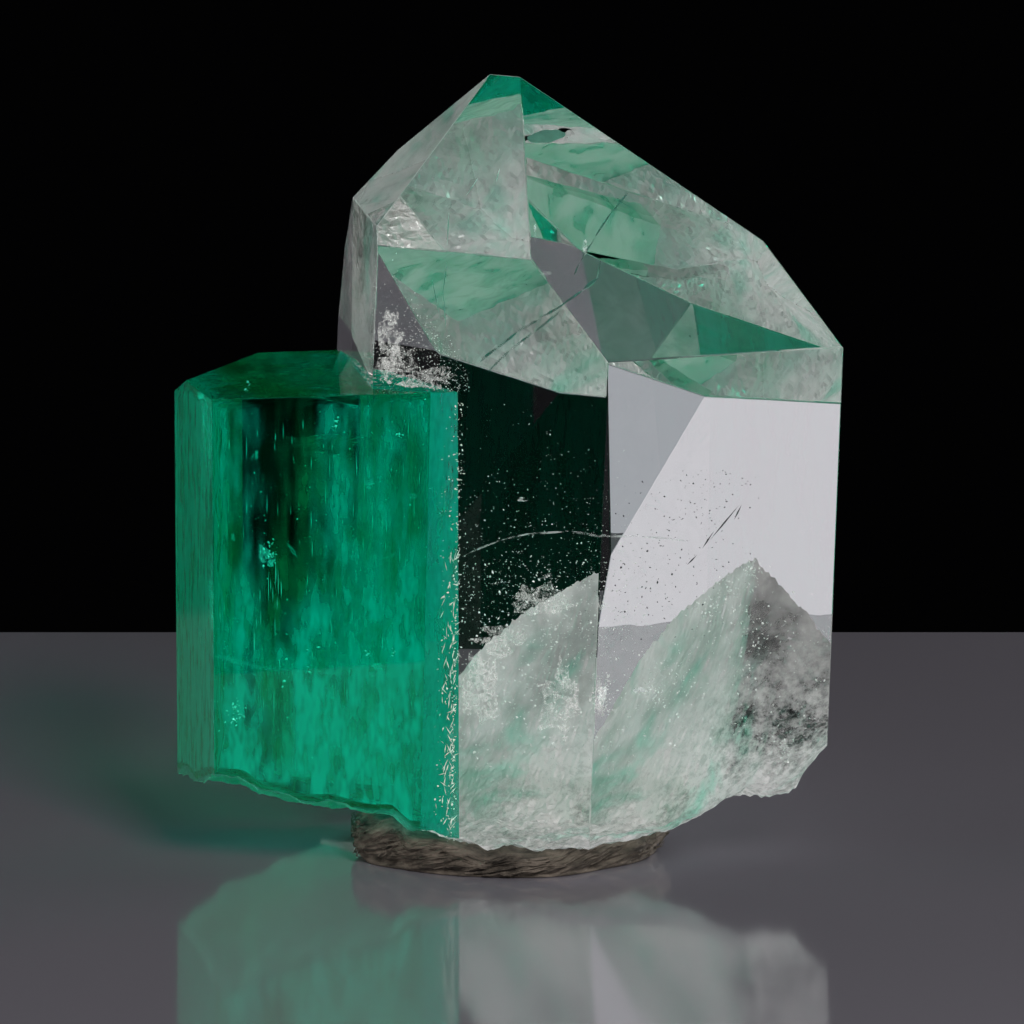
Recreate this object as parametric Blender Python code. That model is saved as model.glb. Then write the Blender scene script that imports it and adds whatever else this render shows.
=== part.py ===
"""An emerald prism grown into the corner of a clear quartz crystal, on a pad of grey putty.

Names ending in _MM are in millimetres and are turned into metres where the meshes are made.
The origin is the centre of the pad's flat underside. +Z is up, and -Y is the front.
A face is given by its turn, in degrees to the right of straight ahead (-Y), and by its
distance from the centre of its crystal.
"""

from math import cos, radians, sin, sqrt

import bmesh
import bpy
from mathutils import Matrix, Vector, noise

COLLECTION = "emerald_in_quartz"
MM = 0.001
GAP_MM = 0.3

# The quartz: a six-sided prism under six rhombohedral faces, each a sixth of a turn on. At the back, three
# more faces cut the shoulder and bow the prism; each is a turn, a tilt from the axis and a distance.
QUARTZ_CENTRE_MM = (2.68, 2.68, 12.85)
QUARTZ_TURN_DEG = 36.71
SIXTH_TURN_DEG = 60
QUARTZ_LEAN_DEG = 2.16
RHOMB_TILT_DEG = 51.79
PRISM_DISTANCES_MM = (8.46, 7.96, 4.04, 8.43, 8.09, 9.14)
RHOMB_DISTANCES_MM = (9.74, 9.32, 4.76, 10.01, 11.78, 12.26)
BACK_FACES = ((186.71, 65.56, 6.30), (165.68, 83.22, 4.36), (189.0, 84.0, 5.70))

# The emerald: a beryl prism with a flat top. Its sides are a turn from the front face and a distance.
EMERALD_CENTRE_MM = (-6.20, -0.17, 9.50)
EMERALD_TURN_DEG = 11.0
EMERALD_LEAN_DEG = -0.3
EMERALD_SIDES = ((0, 5.40), (90, 3.72), (120, 4.22), (180, 5.75), (-120, 5.06), (-90, 4.79))
EMERALD_TOP_MM = 6.92
BEVEL_TURN_DEG = -120
BEVEL_TILT_DEG = 30.0
BEVEL_DISTANCE_MM = 7.94

# The broken underside of both crystals: its height along the front and along the rear, by X. Behind, it
# climbs to a rim on the quartz's rear prism face.
FRONT_BREAK_MM = (
    (-11.5, 2.70), (-9.9, 3.60), (-9.0, 3.45), (-8.4, 3.05), (-5.4, 2.65), (-3.9, 2.20),
    (-3.3, 1.60), (-0.7, 0.95), (0.0, 1.25), (3.2, 1.28), (5.3, 1.65), (6.3, 2.00),
    (7.8, 2.70), (8.8, 2.35), (9.8, 2.60), (10.9, 4.30), (12.0, 5.40),
)
REAR_BREAK_MM = ((-11.5, 2.60), (-6.5, 0.75), (0.0, 1.00), (12.0, 2.80))
REAR_RIM_MM = (
    (-6.5, 0.8), (-1.5, 3.0), (-0.1, 4.9), (1.0, 6.3), (2.8, 7.9), (4.6, 9.0), (6.2, 9.9), (7.8, 8.7),
    (9.7, 7.0), (12.0, 5.2),
)
REAR_PRISM_FACE = 2
CLIMB_RUN_MM = 6.0
CLIMB_CURVE = 1.5
BREAK_DEPTH_MM = 6.0
BREAK_CELL_MM = 0.75
BREAK_BLOCK_MM = (28.0, 28.0, 40.0)
BREAK_BLOCK_CENTRE_MM = (0.0, 3.0)
HUMMOCKS = ((0.35, 0.28), (1.1, 0.14))

# The putty: a squashed lump between the table and the broken underside.
PAD_HALF_WIDTH_MM = 5.25
PAD_HALF_DEPTH_MM = 6.05
PAD_LOBES = ((2, 0.02, 0.6), (5, 0.025, 2.1), (9, 0.012, 0.3))
PAD_SEGMENTS = (48, 24)
PAD_CLEARANCE_MM = 0.4
PAD_TOP_MM = 2.2
PAD_FLAT_LEVEL = 0.6
PAD_FULLNESS = 0.35

BLOCK_SIZE_MM = 90.0


def clear_scene():
    """Remove every object that the file opens with."""
    for existing in list(bpy.data.objects):
        bpy.data.objects.remove(existing, do_unlink=True)


def make_collection(name):
    """Return a new collection, linked to the scene."""
    collection = bpy.data.collections.new(name)
    bpy.context.scene.collection.children.link(collection)
    return collection


def make_material(name, colour, roughness, transmission=0.0, ior=1.5):
    """Return a Principled material."""
    material = bpy.data.materials.new(name)
    material.use_nodes = True
    material.diffuse_color = (*colour, 1.0)
    shader = material.node_tree.nodes["Principled BSDF"]
    shader.inputs["Base Color"].default_value = (*colour, 1.0)
    shader.inputs["Roughness"].default_value = roughness
    shader.inputs["Metallic"].default_value = 0.0
    shader.inputs["Transmission Weight"].default_value = transmission
    shader.inputs["IOR"].default_value = ior
    return material


def make_object(name, mesh_maker, collection, material=None):
    """Turn a bmesh into a named object in a collection."""
    mesh = bpy.data.meshes.new(name)
    mesh_maker.to_mesh(mesh)
    mesh_maker.free()
    made = bpy.data.objects.new(name, mesh)
    collection.objects.link(made)
    if material:
        mesh.materials.append(material)
    return made


def hide_tool(tool):
    """Mark an object as a cutter that isn't part of the model."""
    tool.hide_render = True
    tool.display_type = "WIRE"


def face_normal(turn_deg, tilt_deg, lean_deg):
    """Outward normal of a crystal face whose normal stands tilt_deg from a leaning axis."""
    turn = radians(turn_deg)
    tilt = radians(tilt_deg)
    upright = Vector((sin(turn) * sin(tilt), -cos(turn) * sin(tilt), cos(tilt)))
    return Matrix.Rotation(radians(lean_deg), 3, "Y") @ upright


def quartz_faces():
    """The quartz's faces as (normal, distance): six of the prism, six of the point, three at the back."""
    faces = []
    for tilt, distances in ((90.0, PRISM_DISTANCES_MM), (RHOMB_TILT_DEG, RHOMB_DISTANCES_MM)):
        for step, distance in enumerate(distances):
            turn = QUARTZ_TURN_DEG + SIXTH_TURN_DEG * step
            faces.append((face_normal(turn, tilt, QUARTZ_LEAN_DEG), distance))
    for turn, tilt, distance in BACK_FACES:
        faces.append((face_normal(turn, tilt, QUARTZ_LEAN_DEG), distance))
    return faces


def emerald_faces(growth=0.0):
    """The emerald's faces as (normal, distance), each moved out by growth."""
    faces = []
    for turn, distance in EMERALD_SIDES:
        faces.append((face_normal(EMERALD_TURN_DEG + turn, 90.0, EMERALD_LEAN_DEG), distance + growth))
    bevel = face_normal(EMERALD_TURN_DEG + BEVEL_TURN_DEG, BEVEL_TILT_DEG, EMERALD_LEAN_DEG)
    faces.append((bevel, BEVEL_DISTANCE_MM + growth))
    faces.append((face_normal(0.0, 0.0, EMERALD_LEAN_DEG), EMERALD_TOP_MM + growth))
    return faces


def cut_crystal(centre_mm, faces):
    """Cut a large cube down to a crystal by its face planes."""
    crystal = bmesh.new()
    centre = Vector(centre_mm) * MM
    bmesh.ops.create_cube(crystal, size=BLOCK_SIZE_MM * MM, matrix=Matrix.Translation(centre))
    for normal, distance in faces:
        cut = bmesh.ops.bisect_plane(
            crystal,
            geom=crystal.verts[:] + crystal.edges[:] + crystal.faces[:],
            plane_co=centre + normal * distance * MM,
            plane_no=normal,
            clear_outer=True,
        )
        rim = [item for item in cut["geom_cut"] if isinstance(item, bmesh.types.BMEdge)]
        bmesh.ops.edgeloop_fill(crystal, edges=rim)
    bmesh.ops.recalc_face_normals(crystal, faces=crystal.faces[:])
    return crystal


def along(points, x):
    """Read a piecewise straight line of (x, value) points at x."""
    if x <= points[0][0]:
        return points[0][1]
    for (x_start, start), (x_end, end) in zip(points, points[1:]):
        if x <= x_end:
            return start + (end - start) * (x - x_start) / (x_end - x_start)
    return points[-1][1]


def break_height(x, y):
    """Height in mm of the crystals' broken underside above the table, at x and y in mm."""
    depth = min(max((y + BREAK_DEPTH_MM) / (2 * BREAK_DEPTH_MM), 0.0), 1.0)
    height = along(FRONT_BREAK_MM, x) * (1 - depth) + along(REAR_BREAK_MM, x) * depth
    rim = max(along(REAR_RIM_MM, x), height)
    rear_turn = QUARTZ_TURN_DEG + SIXTH_TURN_DEG * REAR_PRISM_FACE
    rear = face_normal(rear_turn, 90.0, QUARTZ_LEAN_DEG)
    ahead = PRISM_DISTANCES_MM[REAR_PRISM_FACE] - rear.dot(Vector((x, y, rim)) - Vector(QUARTZ_CENTRE_MM))
    climb = min(max(1 - ahead / CLIMB_RUN_MM, 0.0), 1.0)
    height += (rim - height) * climb ** CLIMB_CURVE
    for frequency, size in HUMMOCKS:
        height += size * noise.noise(Vector((x * frequency, y * frequency, size)))
    return height


def break_block():
    """A tall block whose underside is the broken surface."""
    block = bmesh.new()
    width, depth, top = BREAK_BLOCK_MM
    centre_x, centre_y = BREAK_BLOCK_CENTRE_MM
    bmesh.ops.create_grid(
        block,
        x_segments=round(width / BREAK_CELL_MM),
        y_segments=round(depth / BREAK_CELL_MM),
        size=0.5,
    )
    for vertex in block.verts:
        x = vertex.co.x * width + centre_x
        y = vertex.co.y * depth + centre_y
        vertex.co = Vector((x, y, break_height(x, y))) * MM
    raised = bmesh.ops.extrude_face_region(block, geom=block.faces[:])
    for item in raised["geom"]:
        if isinstance(item, bmesh.types.BMVert):
            item.co.z = top * MM
    bmesh.ops.recalc_face_normals(block, faces=block.faces[:])
    return block


def boolean(target, tool, operation):
    """Add an exact Boolean modifier."""
    modifier = target.modifiers.new(operation.lower() + "_" + tool.name, "BOOLEAN")
    modifier.operation = operation
    modifier.solver = "EXACT"
    modifier.object = tool


def pad_reach(direction):
    """Distance in mm from the pad's centre to its rim, along a flat unit direction."""
    across = direction.x / PAD_HALF_WIDTH_MM
    along_depth = direction.y / PAD_HALF_DEPTH_MM
    reach = 1.0 / sqrt(across * across + along_depth * along_depth)
    angle = direction.to_2d().angle_signed(Vector((1.0, 0.0)), 0.0)
    for count, size, phase in PAD_LOBES:
        reach *= 1.0 + size * sin(count * angle + phase)
    return reach


def putty_lump():
    """A sphere squashed flat below, filled out to a lobed rim, and shaped above to the broken bases."""
    lump = bmesh.new()
    around, up = PAD_SEGMENTS
    bmesh.ops.create_uvsphere(lump, u_segments=around, v_segments=up, radius=1.0)
    for vertex in lump.verts:
        spot = Vector((vertex.co.x, vertex.co.y, 0.0))
        radius = spot.length
        level = min(max((vertex.co.z / PAD_FLAT_LEVEL + 1) / 2, 0.0), 1.0)
        if radius > 0.0:
            direction = spot / radius
            on_side = abs(vertex.co.z) < PAD_FLAT_LEVEL
            filled = radius ** PAD_FULLNESS if on_side else radius
            spot = direction * pad_reach(direction) * filled
        ceiling = min(break_height(spot.x, spot.y) - PAD_CLEARANCE_MM, PAD_TOP_MM)
        vertex.co = Vector((spot.x, spot.y, ceiling * level)) * MM
    bmesh.ops.recalc_face_normals(lump, faces=lump.faces[:])
    return lump


def build():
    """Model the two crystals and the pad under them."""
    clear_scene()
    parts = make_collection(COLLECTION)
    cutters = make_collection(COLLECTION + "_cutters")

    quartz_look = make_material("quartz", (0.90, 0.93, 0.91), 0.03, transmission=1.0, ior=1.544)
    emerald_look = make_material("emerald", (0.0, 0.42, 0.22), 0.05, transmission=0.8, ior=1.58)
    putty_look = make_material("putty", (0.23, 0.21, 0.18), 0.85)

    underside = make_object("underside", break_block(), cutters)
    socket = make_object("socket", cut_crystal(EMERALD_CENTRE_MM, emerald_faces(GAP_MM)), cutters)
    hide_tool(underside)
    hide_tool(socket)

    quartz = make_object("quartz_crystal", cut_crystal(QUARTZ_CENTRE_MM, quartz_faces()), parts, quartz_look)
    boolean(quartz, underside, "INTERSECT")
    boolean(quartz, socket, "DIFFERENCE")

    emerald = make_object("emerald_crystal", cut_crystal(EMERALD_CENTRE_MM, emerald_faces()), parts, emerald_look)
    boolean(emerald, underside, "INTERSECT")

    make_object("putty_pad", putty_lump(), parts, putty_look)


build()
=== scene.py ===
from math import cos, pi, radians, sin, sqrt
from random import Random

import bmesh
import bpy
from mathutils import Matrix, Vector, noise


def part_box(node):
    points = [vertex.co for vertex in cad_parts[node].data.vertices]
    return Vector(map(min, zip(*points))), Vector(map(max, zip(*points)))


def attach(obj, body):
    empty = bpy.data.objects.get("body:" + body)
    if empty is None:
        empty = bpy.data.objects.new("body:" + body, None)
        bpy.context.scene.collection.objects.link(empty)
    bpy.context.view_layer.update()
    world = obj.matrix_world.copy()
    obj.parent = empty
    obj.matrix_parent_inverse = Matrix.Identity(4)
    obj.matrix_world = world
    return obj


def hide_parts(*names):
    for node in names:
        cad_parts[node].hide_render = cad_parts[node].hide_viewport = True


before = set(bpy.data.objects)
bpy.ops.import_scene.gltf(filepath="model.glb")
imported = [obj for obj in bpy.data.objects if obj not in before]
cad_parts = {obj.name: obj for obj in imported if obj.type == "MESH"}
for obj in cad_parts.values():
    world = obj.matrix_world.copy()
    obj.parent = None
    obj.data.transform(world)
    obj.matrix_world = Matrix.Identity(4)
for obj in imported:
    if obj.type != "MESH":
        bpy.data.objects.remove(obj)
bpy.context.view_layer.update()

# The looks of a green emerald prism grown into the corner of a clear quartz crystal, on a pad of putty.
# Lengths ending in _MM are in millimetres. A face's turn is in degrees to the right of straight ahead (-Y).
MM = 0.001

# The camera looks along +Y from far off, at the photograph's height and framing.
AIM_MM = (0.17, -8.21, 12.85)
CAMERA_ELEVATION_DEG = 8.23
CAMERA_DISTANCE_MM = 670.0
FRAME_WIDTH_MM = 34.3
FRAME_WIDTH_POINTS = 1024
SENSOR_MM = 36.0

# Crystal directions: the same axes and face angles as the solids.
QUARTZ_TURN_DEG = 36.71
QUARTZ_LEAN_DEG = 2.16
RHOMB_TILT_DEG = 51.79
QUARTZ_BACK_FACES_DEG = ((186.71, 65.56), (165.68, 83.22), (189.0, 84.0))
EMERALD_TURN_DEG = 11.0
EMERALD_LEAN_DEG = -0.3
EMERALD_SIDE_TURNS_DEG = (0, 90, 120, 180, -120, -90)
BEVEL_TURN_DEG = -120
BEVEL_TILT_DEG = 30.0

# The places of some faces in the lists of crystal faces.
PRISM_RIGHT, PRISM_REAR, PRISM_FRONT = 0, 2, 5
TIP_RIGHT, TIP_FRONT = 6, 11
EMERALD_FRONT, EMERALD_LEFT = 0, 5

QUARTZ_IOR = 1.544
EMERALD_IOR = 1.58
CONTACT_GAP_MM = 0.01
WORN_EDGE_MM = 0.035
BLOCK_SIZE_MM = 90.0

# Which tool a face comes from, as the number of its material slot while the crystals are cut; 0 is whole.
BROKEN, CONTACT = 1, 2

# The broken underside: its height along the front and the rear, by X, and its rim on the rear prism face.
FRONT_BREAK_MM = (
    (-11.5, 2.70), (-9.9, 3.60), (-9.0, 3.45), (-8.4, 3.05), (-5.4, 2.65), (-3.9, 2.20),
    (-3.3, 1.60), (-0.7, 0.95), (0.0, 1.25), (3.2, 1.28), (5.3, 1.65), (6.3, 2.00),
    (7.8, 2.70), (8.8, 2.35), (9.8, 2.60), (10.9, 4.30), (12.0, 5.40),
)
REAR_BREAK_MM = ((-11.5, 2.60), (-6.5, 0.75), (0.0, 1.00), (12.0, 2.80))
REAR_RIM_MM = (
    (-6.5, 0.8), (-1.5, 3.0), (-0.1, 4.9), (1.0, 6.3), (2.8, 7.9), (4.6, 9.0), (6.2, 9.9), (7.8, 8.7),
    (9.7, 7.0), (12.0, 5.2),
)
BREAK_DEPTH_MM = 6.0
CLIMB_RUN_MM = 6.0
CLIMB_CURVE = 1.5
HUMMOCKS = ((0.35, 0.28), (1.1, 0.14))
SCALLOP_MM = 0.10
STEP_MM = 0.10
SPLINTER_MM = (0.07, 0.035)
BREAK_CELL_MM = 0.13
BREAK_MARGIN_MM = 0.5

# The putty pad: its outline is a lobed oval.
PAD_HALF_WIDTH_MM = 5.25
PAD_HALF_DEPTH_MM = 6.05
PAD_LOBES = ((2, 0.02, 0.6), (5, 0.025, 2.1), (9, 0.012, 0.3))
PAD_FINE_SEGMENTS = (420, 130)
PAD_CLEARANCE_MM = 0.34
PAD_TOP_MM = 2.7
PAD_FLAT_LEVEL = 0.6
PAD_FULLNESS = 0.35
FOLD_MM, STRAND_MM, THREAD_MM, LIP_MM, FOLD_INSET_MM = 0.34, 0.15, 0.07, 0.16, 0.28
PUTTY_STRANDS = 260
PUTTY_DARK = (0.030, 0.025, 0.021)
PUTTY_PALE = (0.20, 0.165, 0.135)

# Colours of the crystals and of what they hold.
WHITE = (1.0, 1.0, 1.0, 1.0)
CHALK = (0.93, 0.90, 0.91)
CHALK_GREEN = (0.45, 0.82, 0.70)
# Grey of the socket's dull film, darker than the chalk of the break.
CONTACT_FILM_GREY = (0.52, 0.56, 0.53)
EMERALD_DEPTH = (0.0, 0.92, 0.86)
EMERALD_DENSITY = 800.0
EMERALD_SKIN = (0.005, 0.38, 0.27)
EMERALD_CHALK = (0.25, 0.75, 0.62)
EMERALD_HAZE = (0.0, 0.50, 0.36)
DUST_WHITE = (0.90, 0.93, 0.92)
SPECK_DARK = (0.02, 0.02, 0.025)
# Pale of the real cracks, also used for the painted sheen on the crack sheets.
CRACK_AND_SHEEN_PALE = (0.70, 0.75, 0.75)
CRACK_GREEN = (0.02, 0.16, 0.12)
CLOUD_WHITE = (0.86, 0.86, 0.85)
NEEDLE_GREEN = (0.09, 0.26, 0.20)
FLECK_GREEN = (0.08, 0.95, 0.70)
VEIL_GREEN = (0.06, 0.75, 0.55)
GRAIN_PALE = (0.88, 0.93, 0.84)

# What is sealed in is placed by where it shows. Places, widths and heights are points of the picture,
# from its top left, and depths and sizes are in mm. A zone is (left, top, right, bottom).
FRONT_ZONE = (462, 400, 598, 640)
CORNER_ZONE = (374, 240, 470, 392)
FOOT_ZONE = (458, 560, 598, 800)
RIGHT_FOOT_ZONE = (602, 640, 720, 790)
WINDOW_ZONE = (640, 560, 830, 740)
EDGE_CHIP_ZONE = (592, 676, 606, 716)
SPECK_ZONE = (612, 470, 760, 640)
FEW_SPECKS_ZONE = (640, 470, 760, 560)
WINDOW_TOP = (752, 572)
WINDOW_SLOPE = 0.85
CORNER_START = (374, 236)
CORNER_SLOPE = 1.45
SPECK_BAND_MIDDLE = (640, 590)
SPECK_BAND_SLOPE = 0.7
SPECK_BAND_WIDTH = 95

# By face: x, y, spread, count, greatest depth.
DUST_CLUSTERS = (
    (PRISM_RIGHT, (
        (728, 592, 9, 70, 2.0), (752, 570, 6, 60, 2.0), (706, 608, 9, 60, 2.0), (665, 677, 11, 70, 1.5),
        (656, 697, 7, 70, 1.5), (784, 752, 7, 80, 0.4), (690, 735, 14, 60, 1.0), (768, 786, 10, 50, 0.25),
        (745, 640, 22, 60, 1.5),
    )),
    (PRISM_FRONT, ((540, 620, 24, 90, 1.5), (500, 660, 18, 70, 1.0), (555, 700, 24, 90, 1.0))),
)
# Middle and half reach of each dark needle behind the right face.
DARK_NEEDLES = ((725, 522, 15, -18), (708, 540, 6, -9), (738, 512, 4, -8), (692, 560, 5, -5))
DARK_NEEDLE_DEPTH_MM = 1.2
# Middle, right end and top of the green flake and of the emerald's bright veils.
GREEN_FLAKE = ((546, 136), (569, 133), (547, 128))
BRIGHT_VEIL = ((266, 556), (281, 560), (260, 538))

# Face, depth, half width in mm, places along the line.
PALE_CRACK_LINES = (
    (PRISM_FRONT, 1.0, 0.04, ((462, 556), (500, 540), (532, 533), (565, 532), (600, 536))),
    (PRISM_RIGHT, 1.0, 0.04, ((600, 536), (640, 536), (692, 541))),
)
DARK_CRACK_LINES = (
    (TIP_RIGHT, 0.3, 0.05, ((628, 193), (612, 212), (594, 238), (580, 262), (573, 275))),
    (TIP_RIGHT, 0.3, 0.05, ((601, 258), (598, 278), (582, 290), (564, 303))),
    (PRISM_FRONT, 0.3, 0.05, ((564, 303), (540, 318), (517, 331), (497, 348), (479, 362))),
    (PRISM_FRONT, 0.3, 0.04, ((560, 312), (534, 332), (510, 350), (488, 372))),
)
# By face: x, y, half width, half height, depth.
# These sheets stand where the quartz shows a bright sheen: part real crack, part painted sheen.
SHEEN_CRACK_SHEETS = (
    (TIP_RIGHT, ((584, 247, 3, 10, 0.3), (547, 273, 7, 3, 0.3), (536, 232, 2, 12, 0.3))),
    (PRISM_FRONT, ((598, 696, 6, 14, 0.5), (522, 500, 10, 3, 1.5), (545, 575, 10, 3, 0.8))),
    (PRISM_RIGHT, ((640, 690, 14, 4, 2.0),)),
)
CLOUDS = (
    (PRISM_FRONT, (
        (398, 362, 34, 30, 0.3), (392, 340, 22, 50, 0.9), (424, 378, 44, 16, 0.5), (386, 372, 14, 18, 0.1),
        (500, 640, 44, 26, 1.5), (540, 600, 60, 30, 2.5), (480, 690, 30, 60, 0.9), (596, 698, 10, 20, 0.4),
        (560, 700, 30, 70, 2.0),
    )),
)
GREEN_NEEDLES = (
    (TIP_RIGHT, ((600, 262), (596, 282), (584, 290), (568, 300))),
    (TIP_FRONT, ((500, 168), (496, 182))),
    (TIP_FRONT, ((478, 178), (466, 196))),
    (PRISM_FRONT, ((447, 262), (443, 292), (446, 330))),
    (TIP_FRONT, ((449, 212), (447, 246))),
    (PRISM_FRONT, ((432, 280), (440, 318))),
)

# The emerald's tubes, flecks (x, y, spread, count), fracture and small veils.
TUBE_ZONE = (216, 410, 430, 760)
TUBE_CLUSTER_ZONE = (254, 590, 284, 745)
FLECK_ZONE = (216, 400, 432, 780)
LEFT_FLECK_ZONE = (180, 640, 206, 760)
VEIL_ZONE = (225, 430, 420, 750)
TUBES, CLUSTERED_TUBES, FLECKS, LEFT_FLECKS, SMALL_VEILS = 110, 18, 420, 40, 16
FLECK_CLUSTERS = (
    (270, 552, 7, 26), (236, 712, 6, 60), (365, 655, 4, 6), (395, 655, 3, 5), (402, 436, 3, 7),
    (247, 385, 4, 6), (436, 405, 7, 16), (300, 668, 20, 10), (335, 420, 6, 6),
)
FRACTURE_LINE = ((216, 658), (250, 667), (292, 673), (345, 675), (402, 676), (428, 668))
VEIL_THICK_MM = 0.012

# Where the emerald's haze opens, by mm across and up: from closed to open, and closed again.
WINDOW_ACROSS_MM = (-8.9, -8.2, -6.9, -6.2)
WINDOW_RISE_MM = (8.4, 10.4)
GAP_ACROSS_MM = (-8.7, -8.3, -7.5, -7.0)
GAP_UP_MM = (4.0, 4.8, 7.0, 7.8)
SLOT_ACROSS_MM = (-5.3, -5.0, -4.7, -4.4)
SLOT_UP_MM = (11.2, 12.2, 13.6, 14.6)
HAZE_SHELLS = (("outer", 0.35), ("core", 2.1))
HAZE_CELL_MM = 0.2

# The seam between the emerald and the quartz in the picture: a nearly upright line.
SEAM_TOP, NEEDLES_TOP, SEAM_FOOT = 400, 560, 842
SEAM_X = 461
SEAM_SHIFT, SEAM_RUN = 9, 440
SEAM_GRAINS, SEAM_NEEDLES = 420, 110

# Soft boxes: name, turn from straight behind (+Y) to the right, height in degrees, distance and size
# in mm, power, colour, whether it shows through the crystals and whether it shows in their gloss.
LAMPS = (
    ("back_left_box", -46, -2, 150, (54, 110), 0.0130, (0.98, 0.925, 1.0), True, True),
    ("back_strip", -33.5, -12, 150, (20, 70), 0.0018, (0.90, 0.92, 1.0), True, True),
    ("back_right_box", 50, 2, 150, (50, 24), 0.07, (1.0, 0.99, 0.98), False, True),
    ("top_box", 20, 75, 130, (110, 90), 0.002, (1.0, 1.0, 1.0), False, True),
    ("key_box", 167, 24, 300, (64, 64), 0.57, (1.0, 0.99, 0.97), False, True),
    ("left_box", -95, 2, 160, (70, 28), 0.085, (1.0, 0.98, 0.96), False, False),
    ("right_box", 122, 2, 150, (60, 28), 0.05, (1.0, 0.98, 0.96), False, False),
)
LAMP_AIM_MM = (0, 0, 12)
ROOM_COLOUR = (0.0006, 0.0006, 0.0007)
TABLE_HALF_MM = (160, 50)
TABLE_COLOUR = (0.28, 0.265, 0.31)


def face_normal(turn_deg, tilt_deg, lean_deg):
    """Outward normal of a crystal face whose normal stands tilt_deg from a leaning axis."""
    turn = radians(turn_deg)
    tilt = radians(tilt_deg)
    upright = Vector((sin(turn) * sin(tilt), -cos(turn) * sin(tilt), cos(tilt)))
    return Matrix.Rotation(radians(lean_deg), 3, "Y") @ upright


def reach(node, normal):
    """How far a CAD node reaches along a direction from the part's origin, in metres."""
    return max(normal.dot(vertex.co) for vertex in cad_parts[node].data.vertices)


def quartz_planes():
    """The quartz faces as (normal, distance from the origin), measured on the solid."""
    directions = [(QUARTZ_TURN_DEG + 60 * step, tilt) for tilt in (90.0, RHOMB_TILT_DEG) for step in range(6)]
    planes = []
    for turn, tilt in (*directions, *QUARTZ_BACK_FACES_DEG):
        normal = face_normal(turn, tilt, QUARTZ_LEAN_DEG)
        planes.append((normal, reach("quartz_crystal", normal)))
    return planes


def emerald_planes():
    """The emerald's faces as (normal, distance from the origin), measured on the solid."""
    directions = [(EMERALD_TURN_DEG + turn, 90.0) for turn in EMERALD_SIDE_TURNS_DEG]
    directions += [(EMERALD_TURN_DEG + BEVEL_TURN_DEG, BEVEL_TILT_DEG), (0.0, 0.0)]
    normals = [face_normal(turn, tilt, EMERALD_LEAN_DEG) for turn, tilt in directions]
    return [(normal, reach("emerald_crystal", normal)) for normal in normals]


def cut_by(maker, face, clear_outer):
    """Cut a mesh by a crystal face's plane, and take off what is outside it if asked."""
    normal, distance = face
    return bmesh.ops.bisect_plane(
        maker,
        geom=maker.verts[:] + maker.edges[:] + maker.faces[:],
        plane_co=normal * distance,
        plane_no=normal,
        clear_outer=clear_outer,
    )


def cut_crystal(planes, worn_mm=0.0):
    """Cut a large cube down to a crystal by its face planes, and take a hair off its edges."""
    crystal = bmesh.new()
    bmesh.ops.create_cube(crystal, size=BLOCK_SIZE_MM * MM)
    for face in planes:
        cut = cut_by(crystal, face, True)
        rim = [item for item in cut["geom_cut"] if isinstance(item, bmesh.types.BMEdge)]
        bmesh.ops.edgeloop_fill(crystal, edges=rim)
    bmesh.ops.recalc_face_normals(crystal, faces=crystal.faces[:])
    if worn_mm:
        bmesh.ops.bevel(
            crystal,
            geom=crystal.edges[:],
            offset=worn_mm * MM,
            offset_type="OFFSET",
            segments=2,
            profile=0.5,
            affect="EDGES",
            clamp_overlap=True,
        )
    return crystal


def along(points, x):
    """Read a piecewise straight line of (x, value) points at x."""
    if x <= points[0][0]:
        return points[0][1]
    for (x_start, start), (x_end, end) in zip(points, points[1:]):
        if x <= x_end:
            return start + (end - start) * (x - x_start) / (x_end - x_start)
    return points[-1][1]


def smooth(low, high, value):
    """0 below low, 1 above high, and an even curve between."""
    share = min(max((value - low) / (high - low), 0.0), 1.0)
    return share * share * (3 - 2 * share)


def band(value, start, rise, fall, end):
    """1 between rise and fall, and 0 before start and after end."""
    return smooth(start, rise, value) * (1 - smooth(fall, end, value))


def break_height(x, y, rear):
    """Height in mm of the broken underside above the table; rear is the quartz's rear prism face."""
    depth = min(max((y + BREAK_DEPTH_MM) / (2 * BREAK_DEPTH_MM), 0.0), 1.0)
    height = along(FRONT_BREAK_MM, x) * (1 - depth) + along(REAR_BREAK_MM, x) * depth
    rim = max(along(REAR_RIM_MM, x), height)
    normal, distance = rear
    ahead = distance / MM - normal.dot(Vector((x, y, rim)))
    climb = min(max(1 - ahead / CLIMB_RUN_MM, 0.0), 1.0)
    height += (rim - height) * climb ** CLIMB_CURVE
    for frequency, size in HUMMOCKS:
        height += size * noise.noise(Vector((x * frequency, y * frequency, size)))
    return height


def fracture(x, y, height):
    """Fine relief in mm of a fresh break: scallops, small steps and splinters."""
    spot = Vector((x, y, height))
    scallop = SCALLOP_MM * noise.noise(spot * 1.1 + Vector((3.0, 7.0, 1.0)))
    near, second = noise.voronoi(spot * 1.9 + Vector((0.4 * noise.noise(spot * 1.5), 5.0, 2.0)))[0][:2]
    step = STEP_MM * (second - near)
    coarse, fine = SPLINTER_MM
    splinter = coarse * noise.noise(spot * 4.3) + fine * noise.noise(spot * 9.1)
    return scallop - step + splinter


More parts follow.
